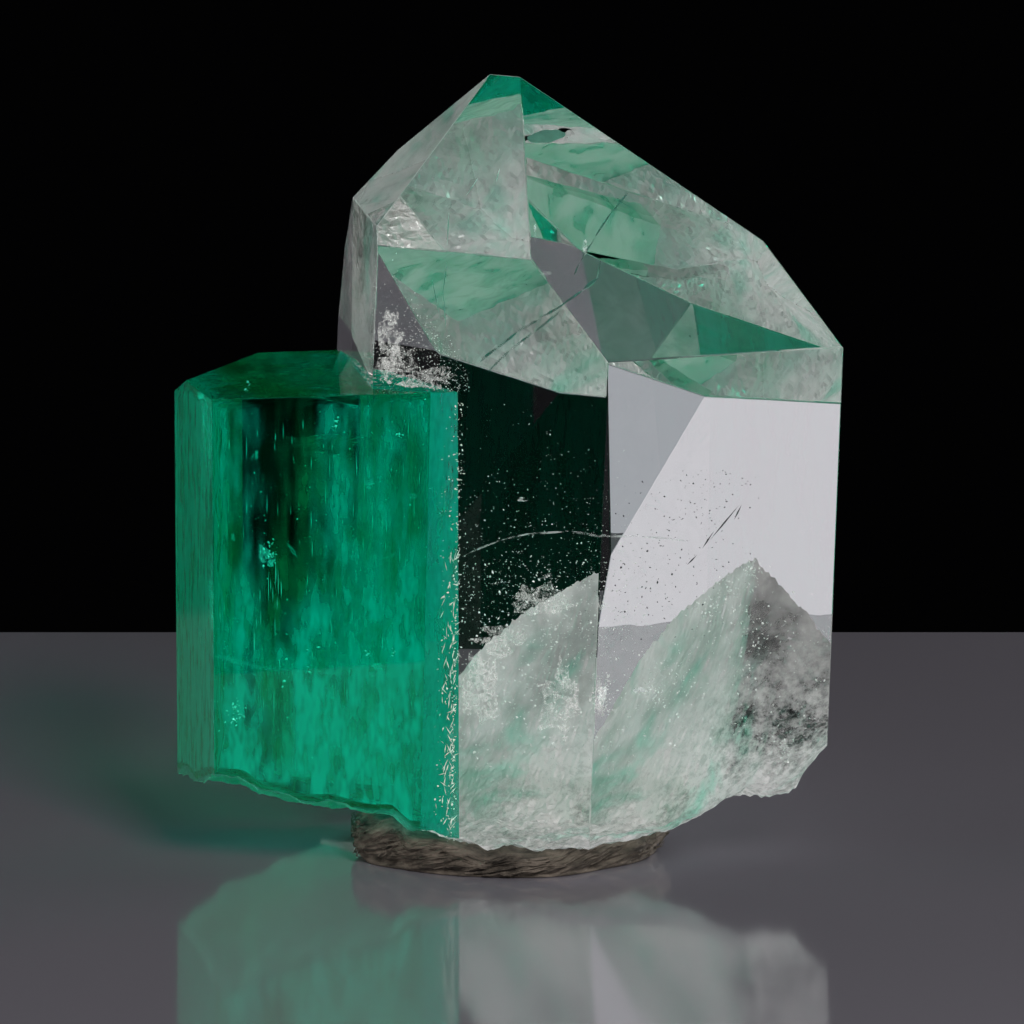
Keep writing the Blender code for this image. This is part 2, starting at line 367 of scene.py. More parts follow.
def break_block(low, high, rear):
    """A tall block over a footprint in mm, whose underside is the broken surface."""
    block = bmesh.new()
    width = high[0] - low[0]
    depth = high[1] - low[1]
    across = round(width / BREAK_CELL_MM)
    back = round(depth / BREAK_CELL_MM)
    bmesh.ops.create_grid(block, x_segments=across, y_segments=back, size=0.5)
    for vertex in block.verts:
        x = (vertex.co.x + 0.5) * width + low[0]
        y = (vertex.co.y + 0.5) * depth + low[1]
        height = break_height(x, y, rear)
        vertex.co = Vector((x, y, height + fracture(x, y, height))) * MM
    for face in block.faces:
        face.material_index = BROKEN
    raised = bmesh.ops.extrude_face_region(block, geom=block.faces[:])
    for item in raised["geom"]:
        if isinstance(item, bmesh.types.BMVert):
            item.co.z = BLOCK_SIZE_MM / 2 * MM
    bmesh.ops.recalc_face_normals(block, faces=block.faces[:])
    return block


def make_object(name, mesh_maker, material=None, slots=1):
    """Turn a bmesh into a named object in the scene."""
    mesh = bpy.data.meshes.new(name)
    mesh_maker.to_mesh(mesh)
    mesh_maker.free()
    made = bpy.data.objects.new(name, mesh)
    bpy.context.scene.collection.objects.link(made)
    for _ in range(slots):
        mesh.materials.append(material)
    return made


def apply_modifiers(target):
    """Replace an object's mesh by what its modifiers make of it."""
    shown = target.evaluated_get(bpy.context.evaluated_depsgraph_get())
    made = bpy.data.meshes.new_from_object(shown)
    target.modifiers.clear()
    target.data = made


def boolean(target, maker, operation):
    """Cut a mesh by a tool, at once. Faces keep the number of the slot they have on the tool."""
    tool = make_object("tool", maker, target.data.materials[0], slots=3)
    modifier = target.modifiers.new("cut", "BOOLEAN")
    modifier.operation = operation
    modifier.solver = "EXACT"
    modifier.object = tool
    apply_modifiers(target)
    bpy.data.objects.remove(tool)


def milkiness(spot):
    """How milky the quartz's break is at a point in mm: chalky low and left, glassier on the right."""
    x, _, z = spot
    glassy = smooth(5.0, 6.6, x + 0.5 * noise.noise(spot * 0.9)) * smooth(2.6, 4.2, z)
    foot = 1 - smooth(2.0, 5.0, z)
    return 0.80 + 0.18 * foot - 0.36 * glassy


def contact_film(spot):
    """How milky the contact with the emerald is at a point in mm: clear in front and near the top."""
    _, y, z = spot
    depth = smooth(1.5, 3.0, y + 0.6 * noise.noise(spot))
    top = smooth(9.6, 11.2, z + noise.noise(spot * 0.8))
    return 0.95 * depth * (1 - top)


def mark_milk(piece):
    """Store how milky each face of the break and of the contact is."""
    mesh = piece.data
    mark = mesh.attributes.new("milk", "FLOAT", "FACE")
    grown = mesh.attributes["contact"]
    for polygon, value, met in zip(mesh.polygons, mark.data, grown.data):
        spot = polygon.center / MM
        value.value = contact_film(spot) if met.value > 0.5 else milkiness(spot)


def tag_to_marks(piece):
    """Turn the slot numbers of a cut mesh into the marks that its material reads, and leave one slot."""
    mesh = piece.data
    for name, tag in (("broken", BROKEN), ("contact", CONTACT)):
        mark = mesh.attributes.new(name, "FLOAT", "FACE")
        mark.data.foreach_set("value", [float(polygon.material_index == tag) for polygon in mesh.polygons])
    for polygon in mesh.polygons:
        polygon.material_index = 0
    while len(mesh.materials) > 1:
        mesh.materials.pop()


def set_inputs(node, **values):
    """Set a shader node's inputs by name; a blank in a name is written as an underscore."""
    for name, value in values.items():
        node.inputs[name.replace("_", " ")].default_value = value
    return node


def add_node(tree, kind, **values):
    """Add a shader node and set its inputs."""
    return set_inputs(tree.nodes.new("ShaderNode" + kind), **values)


def math_node(tree, operation, first, second):
    """Add a Math node on two sockets or numbers and return its output."""
    node = tree.nodes.new("ShaderNodeMath")
    node.operation = operation
    for socket, value in zip(node.inputs, (first, second)):
        if isinstance(value, bpy.types.NodeSocket):
            tree.links.new(value, socket)
        else:
            socket.default_value = value
    return node.outputs[0]


def attribute(tree, name):
    """Read a number stored on the mesh."""
    node = tree.nodes.new("ShaderNodeAttribute")
    node.attribute_name = name
    return node.outputs["Fac"]


def spot_noise(tree, scale, detail=3.0, roughness=0.55, stretch=(1.0, 1.0, 1.0), distortion=0.0):
    """Noise at a scale per metre in the part's own frame; a small stretch draws it out along that axis."""
    place = tree.nodes.new("ShaderNodeTexCoord")
    mapping = tree.nodes.new("ShaderNodeMapping")
    mapping.inputs["Scale"].default_value = stretch
    texture = add_node(
        tree, "TexNoise", Scale=scale, Detail=detail, Roughness=roughness, Distortion=distortion,
    )
    tree.links.new(place.outputs["Object"], mapping.inputs["Vector"])
    tree.links.new(mapping.outputs["Vector"], texture.inputs["Vector"])
    return texture.outputs["Fac"]


def ramp(tree, socket, low, high, start=0.0, end=1.0):
    """Map a socket's low..high onto start..end, clamped."""
    node = tree.nodes.new("ShaderNodeMapRange")
    tree.links.new(socket, node.inputs["Value"])
    for name, value in zip(("From Min", "From Max", "To Min", "To Max"), (low, high, start, end)):
        node.inputs[name].default_value = value
    return node.outputs["Result"]


def mix_shaders(tree, share, first, second):
    """Mix two shaders by a socket or number."""
    mix = tree.nodes.new("ShaderNodeMixShader")
    if isinstance(share, bpy.types.NodeSocket):
        tree.links.new(share, mix.inputs["Fac"])
    else:
        mix.inputs["Fac"].default_value = share
    tree.links.new(first, mix.inputs[1])
    tree.links.new(second, mix.inputs[2])
    return mix.outputs[0]


def bump(tree, height, distance_mm):
    """A bump normal from a height socket."""
    node = add_node(tree, "Bump", Strength=1.0, Distance=distance_mm * MM)
    tree.links.new(height, node.inputs["Height"])
    return node.outputs["Normal"]


def film(tree, colour, through):
    """A dull surface that lets a share of the light through; its shader."""
    dull = add_node(tree, "BsdfDiffuse", Color=(*colour, 1.0))
    glow = add_node(tree, "BsdfTranslucent", Color=(*colour, 1.0))
    return mix_shaders(tree, through, dull.outputs[0], glow.outputs[0])


def make_material(name):
    """A new material, its node tree, its Principled shader and its output node."""
    material = bpy.data.materials.new(name)
    material.use_nodes = True
    tree = material.node_tree
    return material, tree, tree.nodes["Principled BSDF"], tree.nodes["Material Output"]


def let_light_through(tree, shown, tint):
    """Let lamps reach what is sealed inside the crystal."""
    path = tree.nodes.new("ShaderNodeLightPath")
    clear = add_node(tree, "BsdfTransparent", Color=(*tint, 1.0))
    return mix_shaders(tree, path.outputs["Is Shadow Ray"], shown, clear.outputs[0])


def break_shader(tree):
    """The quartz's break: chalky or frosted white, green here and there, plainer at the rear and darkened
    there by painted shade.
    """
    frost = add_node(tree, "BsdfGlass", IOR=QUARTZ_IOR, Roughness=0.12, Color=WHITE)
    green = ramp(tree, spot_noise(tree, 300, detail=3, distortion=0.6), 0.56, 0.72, 0.0, 0.9)
    tint = add_node(tree, "MixRGB", Color1=(*CHALK, 1.0), Color2=(*CHALK_GREEN, 1.0))
    tree.links.new(green, tint.inputs["Fac"])
    place = add_node(tree, "TexCoord")
    split = add_node(tree, "SeparateXYZ")
    tree.links.new(place.outputs["Object"], split.inputs[0])
    # Painted shade: the break's colour is darkened towards the rear.
    rear_painted_shade = add_node(tree, "HueSaturation")
    tree.links.new(ramp(tree, split.outputs["Y"], 0.0010, 0.0045, 1.0, 0.77), rear_painted_shade.inputs["Value"])
    crisp = ramp(tree, split.outputs["Y"], 0.001, 0.0042, 1.0, 0.12)
    tree.links.new(tint.outputs["Color"], rear_painted_shade.inputs["Color"])
    chalk = add_node(tree, "BsdfDiffuse")
    glow = add_node(tree, "BsdfTranslucent")
    for lit in (chalk, glow):
        tree.links.new(rear_painted_shade.outputs["Color"], lit.inputs["Color"])
    grain = math_node(tree, "MULTIPLY", spot_noise(tree, 5200, detail=2, roughness=0.7), crisp)
    rough = bump(tree, grain, 0.05)
    for lit in (frost, chalk, glow):
        tree.links.new(rough, lit.inputs["Normal"])
    milk = mix_shaders(tree, 0.45, chalk.outputs[0], glow.outputs[0])
    cloud = ramp(tree, spot_noise(tree, 2600, detail=4, roughness=0.75), 0.38, 0.62, -0.34, 0.26)
    cloud = math_node(tree, "MULTIPLY", cloud, crisp)
    patch = ramp(tree, spot_noise(tree, 500, detail=3), 0.40, 0.62, 0.10, -0.25)
    share = math_node(tree, "ADD", attribute(tree, "milk"), math_node(tree, "ADD", cloud, patch))
    share = ramp(tree, share, 0.0, 1.0)
    return mix_shaders(tree, share, frost.outputs[0], milk)


def contact_shader(tree):
    """The quartz's socket: see-through, with a dull film where it is marked milky."""
    clear = add_node(tree, "BsdfTransparent")
    worn = ramp(tree, spot_noise(tree, 700, detail=3, roughness=0.6, distortion=0.8), 0.36, 0.62, 0.30, 0.90)
    share = math_node(tree, "MULTIPLY", attribute(tree, "milk"), worn)
    return mix_shaders(tree, share, clear.outputs[0], film(tree, CONTACT_FILM_GREY, 0.45))


def quartz_material():
    """Clear, colourless quartz, milky and rough where it is broken."""
    material, tree, shader, output = make_material("quartz_clear")
    set_inputs(shader, Base_Color=WHITE, Roughness=0.0, IOR=QUARTZ_IOR, Transmission_Weight=1.0)
    steps = spot_noise(tree, 500, detail=1, stretch=(1.0, 1.0, 3.0))
    tree.links.new(bump(tree, steps, 0.0015), shader.inputs["Normal"])
    shown = mix_shaders(tree, attribute(tree, "broken"), shader.outputs[0], break_shader(tree))
    shown = mix_shaders(tree, attribute(tree, "contact"), shown, contact_shader(tree))
    tree.links.new(let_light_through(tree, shown, (0.86, 0.88, 0.87)), output.inputs["Surface"])
    return material


def emerald_material():
    """Bluish green beryl, coloured by its depth."""
    material, tree, shader, output = make_material("emerald_green")
    set_inputs(shader, Base_Color=WHITE, Roughness=0.0, IOR=EMERALD_IOR, Transmission_Weight=1.0)
    lines = spot_noise(tree, 700, detail=1, stretch=(1.0, 1.0, 0.06))
    tree.links.new(bump(tree, lines, 0.0012), shader.inputs["Normal"])
    facing = add_node(tree, "SeparateXYZ")
    tree.links.new(add_node(tree, "NewGeometry").outputs["Normal"], facing.inputs[0])
    tree.links.new(ramp(tree, facing.outputs["X"], -0.97, -0.90, 0.12, 0.02), shader.inputs["Roughness"])
    meeting = add_node(tree, "BsdfGlass", IOR=EMERALD_IOR / QUARTZ_IOR, Roughness=0.0)
    streaks = spot_noise(tree, 900, detail=4, roughness=0.75, stretch=(1.0, 1.0, 0.3))
    patches = ramp(tree, streaks, 0.38, 0.62, 0.35, 0.95)
    joined = mix_shaders(tree, patches, meeting.outputs[0], film(tree, EMERALD_SKIN, 0.5))
    frost = add_node(tree, "BsdfGlass", IOR=EMERALD_IOR, Roughness=0.3)
    chalk = add_node(tree, "BsdfTranslucent", Color=(*EMERALD_CHALK, 1.0))
    broken = mix_shaders(tree, 0.4, frost.outputs[0], chalk.outputs[0])
    shown = mix_shaders(tree, attribute(tree, "broken"), shader.outputs[0], broken)
    shown = mix_shaders(tree, attribute(tree, "contact"), shown, joined)
    tree.links.new(let_light_through(tree, shown, (0.75, 0.95, 0.9)), output.inputs["Surface"])
    depth = add_node(tree, "VolumeAbsorption", Color=(*EMERALD_DEPTH, 1.0), Density=EMERALD_DENSITY)
    tree.links.new(depth.outputs["Volume"], output.inputs["Volume"])
    return material


def within(planes, point, margin):
    """True if a point is inside a crystal's planes, or outside by less than the margin."""
    return all(normal.dot(point) < distance + margin for normal, distance in planes)


def finish_piece(piece, node):
    """Ride and replace a visual piece."""
    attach(piece, "root")
    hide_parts(node)


def footprint(node):
    """A CAD node's lowest and highest corner in mm, with a margin."""
    low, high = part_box(node)
    grow = Vector((BREAK_MARGIN_MM,) * 3)
    return Vector(low) / MM - grow, Vector(high) / MM + grow


def make_crystals(quartz_faces, emerald_faces):
    """The two crystals, joined where the emerald sits in the quartz."""
    rear = quartz_faces[PRISM_REAR]
    quartz = make_object("quartz", cut_crystal(quartz_faces, WORN_EDGE_MM), quartz_material(), slots=3)
    boolean(quartz, break_block(*footprint("quartz_crystal"), rear), "INTERSECT")
    grown = [(normal, distance + CONTACT_GAP_MM * MM) for normal, distance in emerald_faces]
    socket = cut_crystal(grown)
    for face in socket.faces:
        face.material_index = CONTACT
    boolean(quartz, socket, "DIFFERENCE")
    tag_to_marks(quartz)
    mark_milk(quartz)

    split = cut_crystal(emerald_faces, WORN_EDGE_MM)
    for face in quartz_faces:
        cut_by(split, face, False)
    for face in split.faces:
        if within(quartz_faces, face.calc_center_median(), 0.0):
            face.material_index = CONTACT
    emerald = make_object("emerald", split, emerald_material(), slots=3)
    boolean(emerald, break_block(*footprint("emerald_crystal"), rear), "INTERSECT")
    tag_to_marks(emerald)
    finish_piece(quartz, "quartz_crystal")
    finish_piece(emerald, "emerald_crystal")


def sight(x, y):
    """The line of sight through a point of the picture: the camera's place and a direction."""
    place, up = camera_place()
    middle = FRAME_WIDTH_POINTS / 2
    shift = Vector((1, 0, 0)) * (x - middle) + up * (middle - y)
    way = (Vector(AIM_MM) + shift * FRAME_WIDTH_MM / FRAME_WIDTH_POINTS) * MM - place
    return place, way.normalized()


def behind(face, x, y, depth_mm, ior=QUARTZ_IOR):
    """The point that shows at a place in the picture, at a depth on the bent sight behind a face."""
    normal, distance = face
    place, way = sight(x, y)
    entry = place + way * ((distance - normal.dot(place)) / normal.dot(way))
    slant = -way.dot(normal)
    bent = way / ior + normal * (slant / ior - sqrt(1 - (1 - slant * slant) / ior ** 2))
    return entry + bent * depth_mm * MM


def pick(zone, random):
    """A random place in a zone of the picture."""
    left, top, right, bottom = zone
    return random.uniform(left, right), random.uniform(top, bottom)


def add_splinter(maker, centre, size_mm, random):
    """A small splinter with eight uneven faces."""
    angle = random.uniform(0, 2 * pi)
    turned = Matrix.Rotation(angle, 3, Vector([random.gauss(0, 1) for _ in range(3)]).normalized())
    tips = []
    for axis, share in enumerate((1.0, 0.7, 0.35)):
        for side in (1, -1):
            length = side * share * size_mm * random.uniform(0.5, 1.0) * MM
            tips.append(maker.verts.new(centre + turned.col[axis] * length))
    for first in tips[0:2]:
        for second in tips[2:4]:
            for third in tips[4:6]:
                maker.faces.new((first, second, third))


def add_needle(maker, start, end, radius_mm):
    """A thin spindle between two points."""
    along_it = (end - start).normalized()
    aside = along_it.orthogonal().normalized()
    other = along_it.cross(aside)
    middle = start.lerp(end, 0.45)
    ring = [maker.verts.new(middle + way * radius_mm * MM) for way in (aside, other, -aside, -other)]
    tips = [maker.verts.new(start), maker.verts.new(end)]
    for tip in tips:
        for index in range(4):
            maker.faces.new((tip, ring[index], ring[(index + 1) % 4]))


def add_veil(maker, centre, across, up, random, wave_mm=0.1, ragged=0.35):
    """A thin, wavy, ragged sheet as a closed lens; across and up reach from its centre to its rim."""
    rings, spokes = 5, 24
    facing = across.cross(up).normalized()
    seed = Vector([random.uniform(0, 60) for _ in range(3)])
    layers = []
    for ring in range(1, rings + 1):
        front, back = [], []
        for spoke in range(spokes):
            angle = 2 * pi * spoke / spokes
            turned = Vector((cos(angle) * 2.3, sin(angle) * 2.3, 0))
            edge = 1 - ragged * (0.5 + 0.5 * noise.noise(turned + seed))
            share = ring / rings * edge
            spot = centre + across * cos(angle) * share + up * sin(angle) * share
            spot += facing * wave_mm * MM * noise.noise((spot - centre) / MM * 0.8 + seed)
            half = facing * VEIL_THICK_MM / 2 * MM * (1 - ring / rings)
            front.append(maker.verts.new(spot + half))
            back.append(front[-1] if ring == rings else maker.verts.new(spot - half))
        layers.append((front, back))
    lift = facing * wave_mm * MM * noise.noise(seed)
    for side, way in ((0, 1), (1, -1)):
        hub = maker.verts.new(centre + lift + facing * way * VEIL_THICK_MM / 2 * MM)
        rows = [layer[side] for layer in layers]
        for spoke in range(spokes):
            beside = (spoke + 1) % spokes
            maker.faces.new((hub, rows[0][spoke], rows[0][beside]))
            for inner, outer in zip(rows, rows[1:]):
                maker.faces.new((inner[spoke], outer[spoke], outer[beside], inner[beside]))


def grain_material(name, colour, roughness):
    """A solid speck: lightly varied in colour, with a little gloss."""
    material, tree, shader, _ = make_material(name)
    set_inputs(shader, Roughness=roughness)
    tone = ramp(tree, spot_noise(tree, 2500), 0.3, 0.7, 0.65, 1.0)
    tint = add_node(tree, "HueSaturation", Color=(*colour, 1.0))
    tree.links.new(tone, tint.inputs["Value"])
    tree.links.new(tint.outputs["Color"], shader.inputs["Base Color"])
    return material


def film_material(name, colour, roughness, least, most, grain=1800):
    """A crack or veil: patches of film with clear gaps between them."""
    material, tree, shader, output = make_material(name)
    set_inputs(shader, Base_Color=(*colour, 1.0), Roughness=roughness)
    patches = spot_noise(tree, grain, detail=3, roughness=0.7, distortion=1.0)
    shown = ramp(tree, patches, 0.42, 0.60, least, most)
    clear = add_node(tree, "BsdfTransparent")
    tree.links.new(mix_shaders(tree, shown, clear.outputs[0], shader.outputs[0]), output.inputs["Surface"])
    return material


def add_piece(name, maker, material):
    """Make a piece that rides with the specimen and replaces nothing."""
    bmesh.ops.recalc_face_normals(maker, faces=maker.faces[:])
    piece = make_object(name, maker, material)
    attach(piece, "root")


def scatter(maker, face, zone, count, depths_mm, sizes_mm, random, keep=None, ior=QUARTZ_IOR):
    """Splinters strewn behind a face over a zone of the picture, smaller ones more often."""
    placed = 0
    while placed < count:
        x, y = pick(zone, random)
        if keep and not keep(x, y, random):
            continue
        centre = behind(face, x, y, random.uniform(*depths_mm), ior)
        add_splinter(maker, centre, random.uniform(*sizes_mm) ** 2 / sizes_mm[1], random)
        placed += 1


def denser_below(x, y, random):
    """Keep more of the front face's dust towards its foot."""
    return random.random() < 0.12 + 0.88 * smooth(440, 600, y)


def in_corner(x, y, random):
    """Keep the dust below the slanted edge of the front face's left corner, more of it lower down."""
    edge = CORNER_START[1] + (x - CORNER_START[0]) * CORNER_SLOPE + random.gauss(0, 8)
    return y > edge and random.random() < 0.08 + smooth(280, 372, y)


def in_window(x, y, random):
    """Keep the dust under the roof of the bright window low behind the right face."""
    return y > WINDOW_TOP[1] + abs(x - WINDOW_TOP[0]) * WINDOW_SLOPE


def in_speck_band(x, y, random):
    """Keep the specks that lie near a slanted band."""
    x_middle, y_middle = SPECK_BAND_MIDDLE
    aside = abs((x - x_middle) + (y - y_middle) * SPECK_BAND_SLOPE)
    return random.random() < 1.1 - aside / SPECK_BAND_WIDTH


def add_dust_cluster(maker, faces, face, cluster, random):
    """Splinters gathered round a place, as far as they are inside the quartz."""
    x, y, spread, count, deepest = cluster
    for _ in range(count):
        x_spot, y_spot = random.gauss(x, spread), random.gauss(y, spread)
        centre = behind(faces[face], x_spot, y_spot, random.uniform(0.2 * deepest, deepest))
        spot = centre / MM
        lowest_mm = break_height(spot.x, spot.y, faces[PRISM_REAR]) + 0.3
        if within(faces, centre, -0.1 * MM) and spot.z > lowest_mm:
            add_splinter(maker, centre, random.uniform(0.02, 0.09), random)


def make_quartz_dust(faces, random):
    """White dust, strewn and in small clusters."""
    dust = bmesh.new()
    for face, zone, count, depths_mm, sizes_mm, keep in (
        (PRISM_FRONT, FRONT_ZONE, 1100, (0.2, 4.0), (0.012, 0.055), denser_below),
        (PRISM_FRONT, CORNER_ZONE, 1900, (0.05, 1.6), (0.008, 0.046), in_corner),
        (PRISM_FRONT, FOOT_ZONE, 1300, (0.3, 6.0), (0.015, 0.08), None),
        (PRISM_RIGHT, RIGHT_FOOT_ZONE, 420, (0.3, 4.0), (0.015, 0.07), None),
        (PRISM_RIGHT, WINDOW_ZONE, 500, (2.0, 7.5), (0.02, 0.09), in_window),
        (PRISM_FRONT, EDGE_CHIP_ZONE, 90, (0.1, 1.0), (0.03, 0.10), None),
    ):
        scatter(dust, faces[face], zone, count, depths_mm, sizes_mm, random, keep)
    for face, clusters in DUST_CLUSTERS:
        for cluster in clusters:
            add_dust_cluster(dust, faces, face, cluster, random)
    add_piece("quartz_dust", dust, grain_material("dust_white", DUST_WHITE, 0.25))


def make_quartz_specks(face, random):
    """Dark specks and short dark needles behind the right face."""
    specks = bmesh.new()
    scatter(specks, face, SPECK_ZONE, 420, (0.3, 3.0), (0.02, 0.075), random, in_speck_band)
    scatter(specks, face, FEW_SPECKS_ZONE, 50, (0.3, 3.0), (0.015, 0.05), random)
    for x, y, reach_x, reach_y in DARK_NEEDLES:
        start = behind(face, x - reach_x, y - reach_y, DARK_NEEDLE_DEPTH_MM)
        end = behind(face, x + reach_x, y + reach_y, DARK_NEEDLE_DEPTH_MM)
        add_needle(specks, start, end, 0.035)
    add_piece("quartz_specks", specks, grain_material("speck_dark", SPECK_DARK, 0.4))


def add_crack_lines(maker, faces, lines, random):
    """Narrow sheets one after the other along each line."""
    for face, depth, half_width, places in lines:
        normal = faces[face][0]
        for first, second in zip(places, places[1:]):
            start = behind(faces[face], *first, depth)
            end = behind(faces[face], *second, depth)
            across = (end - start) * 0.58
            aside = across.normalized().cross(normal)
            up = (normal * 0.9 + aside * 0.5).normalized() * half_width * 2 * MM
            add_veil(maker, (start + end) / 2, across, up, random, wave_mm=0.06)


def add_sheets(maker, faces, places, random, wave_mm, ragged):
    """Sheets that face the camera, each behind its own face."""
    for face, sheets in places:
        for x, y, wide, high, depth in sheets:
            middle = behind(faces[face], x, y, depth)
            across = behind(faces[face], x + wide, y, depth + 0.1) - middle
            up = behind(faces[face], x, y - high, depth + 0.15) - middle
            add_veil(maker, middle, across, up, random, wave_mm, ragged)


def make_quartz_cracks(faces, random):
    """Pale and dark cracks, pale sheets that paint the sheen of cracks, and faint white clouds."""
    cracks, dark_cracks, clouds = bmesh.new(), bmesh.new(), bmesh.new()
    add_crack_lines(cracks, faces, PALE_CRACK_LINES, random)
    add_crack_lines(dark_cracks, faces, DARK_CRACK_LINES, random)
    add_sheets(cracks, faces, SHEEN_CRACK_SHEETS, random, 0.12, 0.6)
    # This pale film is the colour of real cracks and of the painted sheen on cracks.
    pale_crack_and_sheen_film = film_material("crack_film", CRACK_AND_SHEEN_PALE, 0.10, 0.0, 0.5)
    add_piece("quartz_cracks", cracks, pale_crack_and_sheen_film)
    dark_film = film_material("crack_film_green", CRACK_GREEN, 0.10, 0.25, 0.9)
    add_piece("quartz_cracks_dark", dark_cracks, dark_film)
    add_sheets(clouds, faces, CLOUDS, random, 0.3, 0.9)
    cloud_film = film_material("cloud_film", CLOUD_WHITE, 0.5, 0.0, 0.30, grain=5000)
    add_piece("quartz_clouds", clouds, cloud_film)


def make_green_needles(faces, random):
    """Green needles and one flake near the top of the quartz."""
    needles = bmesh.new()
    for face, places in GREEN_NEEDLES:
        for first, second in zip(places, places[1:]):
            start = behind(faces[face], *first, 0.3)
            add_needle(needles, start, behind(faces[face], *second, 0.5), 0.03)
    middle_place, right_end, top = GREEN_FLAKE
    middle = behind(faces[TIP_RIGHT], *middle_place, 0.3)
    across = behind(faces[TIP_RIGHT], *right_end, 0.3) - middle
    up = behind(faces[TIP_RIGHT], *top, 0.4) - middle
    add_veil(needles, middle, across, up, random, wave_mm=0.05)
    add_piece("quartz_green_needles", needles, grain_material("needle_green", NEEDLE_GREEN, 0.3))


def make_quartz_inclusions(faces):
    """All that is sealed inside the quartz."""
    random = Random(11)
    make_quartz_dust(faces, random)
    make_quartz_specks(faces[PRISM_RIGHT], random)
    make_quartz_cracks(faces, random)
    make_green_needles(faces, random)


def haze(spot):
    """How hazy the emerald is at a point in mm: streaked up and down, with clear windows to the left."""
    x, y, z = spot
    streak = noise.noise(Vector((x * 1.5, y * 1.5, z * 0.16 + 4.0)))
    thread = noise.noise(Vector((x * 5.0, y * 5.0, z * 0.35)))
    cloud = noise.noise(Vector((x * 1.1, y * 1.1, z * 0.8 + 9.0)))
    # The haze thickens towards the foot and thins near the top: part real haze, part painted light standing
    # in for light thrown up from the floor.
    low = 1 - smooth(3.5, 12.0, z)
    side = 1 - smooth(-10.4, -9.2, x)
    amount = 0.36 - 0.20 * smooth(8.5, 12.5, z) + 0.34 * low + (0.7 + 0.5 * low) * side
    amount += 0.34 * streak + 0.26 * thread + 0.30 * cloud
    across = x + 0.19 * (y + 5.3) + 0.35 * streak
    window = band(across, *WINDOW_ACROSS_MM) * smooth(*WINDOW_RISE_MM, z + thread)
    gap = band(across, *GAP_ACROSS_MM) * band(z, *GAP_UP_MM)
    slot = band(across, *SLOT_ACROSS_MM) * band(z, *SLOT_UP_MM)
    return max(min(amount, 1.0), 0.0) * (1 - 0.97 * window) * (1 - 0.85 * gap) * (1 - 0.75 * slot)


def haze_material():
    """Pale green haze of fine veils, dense where the mesh says so."""
    material, tree, _, output = make_material("emerald_haze")
    veins = spot_noise(tree, 2100, detail=2, roughness=0.7, stretch=(1.0, 1.0, 0.3))
    fine = ramp(tree, veins, 0.33, 0.66, 0.25, 1.5)
    share = math_node(tree, "MULTIPLY", attribute(tree, "haze"), fine)
    clear = add_node(tree, "BsdfTransparent")
    dense = ramp(tree, share, 0.0, 1.0)
    shown = mix_shaders(tree, dense, clear.outputs[0], film(tree, EMERALD_HAZE, 0.5))
    tree.links.new(shown, output.inputs["Surface"])
    return material


def make_emerald_haze(faces, rear):
    """Two closed shells, one inside the other, that carry the emerald's haze."""
    material = haze_material()
    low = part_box("emerald_crystal")[0].z
    for name, inset_mm in HAZE_SHELLS:
        planes = [(normal, distance - inset_mm * MM) for normal, distance in faces]
        planes.append((Vector((0, 0, -1)), -(low + inset_mm * 0.5 * MM)))
        shell = make_object("emerald_haze_" + name, cut_crystal(planes), material)
        remesh = shell.modifiers.new("even", "REMESH")
        remesh.mode = "VOXEL"
        remesh.voxel_size = HAZE_CELL_MM * MM
        apply_modifiers(shell)
        mesh = shell.data
        mesh.materials.clear()
        mesh.materials.append(material)
        mark = mesh.attributes.new("haze", "FLOAT", "POINT")
        outward = [vertex.normal.copy() for vertex in mesh.vertices]
        for vertex, value, way in zip(mesh.vertices, mark.data, outward):
            spot = vertex.co / MM
            value.value = 1 - (1 - haze(spot + Vector((0, 0, inset_mm)))) ** 1.5
            spot += way * 0.16 * noise.noise(spot * 0.9)
            spot.z = max(spot.z, break_height(spot.x, spot.y, rear) + 0.15 + inset_mm * 0.35)
            vertex.co = spot * MM
        shell.visible_shadow = False
        for polygon in mesh.polygons:
            polygon.use_smooth = True
        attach(shell, "root")


def make_emerald_flecks(front, left, random):
    """Growth tubes and bright flecks behind the emerald's front and left faces."""
    bright = bmesh.new()
    for _ in range(TUBES):
        x, y = pick(TUBE_ZONE, random)
        start = behind(front, x, y, random.uniform(0.5, 3.0), EMERALD_IOR)
        end = start + Vector((0, 0, random.uniform(0.1, 0.8) * MM))
        add_needle(bright, start, end, random.uniform(0.006, 0.013))
    for _ in range(CLUSTERED_TUBES):
        x, y = pick(TUBE_CLUSTER_ZONE, random)
        start = behind(front, x, y, random.uniform(0.3, 0.9), EMERALD_IOR)
        add_needle(bright, start, start + Vector((0, 0, random.uniform(0.3, 1.3) * MM)), 0.01)
    scatter(bright, front, FLECK_ZONE, FLECKS, (0.15, 2.5), (0.015, 0.06), random, ior=EMERALD_IOR)
    for x, y, spread, count in FLECK_CLUSTERS:
        for _ in range(count):
            x_spot, y_spot = random.gauss(x, spread * 0.6), random.gauss(y, spread)
            centre = behind(front, x_spot, y_spot, random.uniform(0.1, 0.5), EMERALD_IOR)
            add_splinter(bright, centre, random.uniform(0.03, 0.10), random)
    scatter(bright, left, LEFT_FLECK_ZONE, LEFT_FLECKS, (0.15, 1.0), (0.03, 0.1), random, ior=EMERALD_IOR)
    add_piece("emerald_flecks", bright, grain_material("fleck_green", FLECK_GREEN, 0.2))


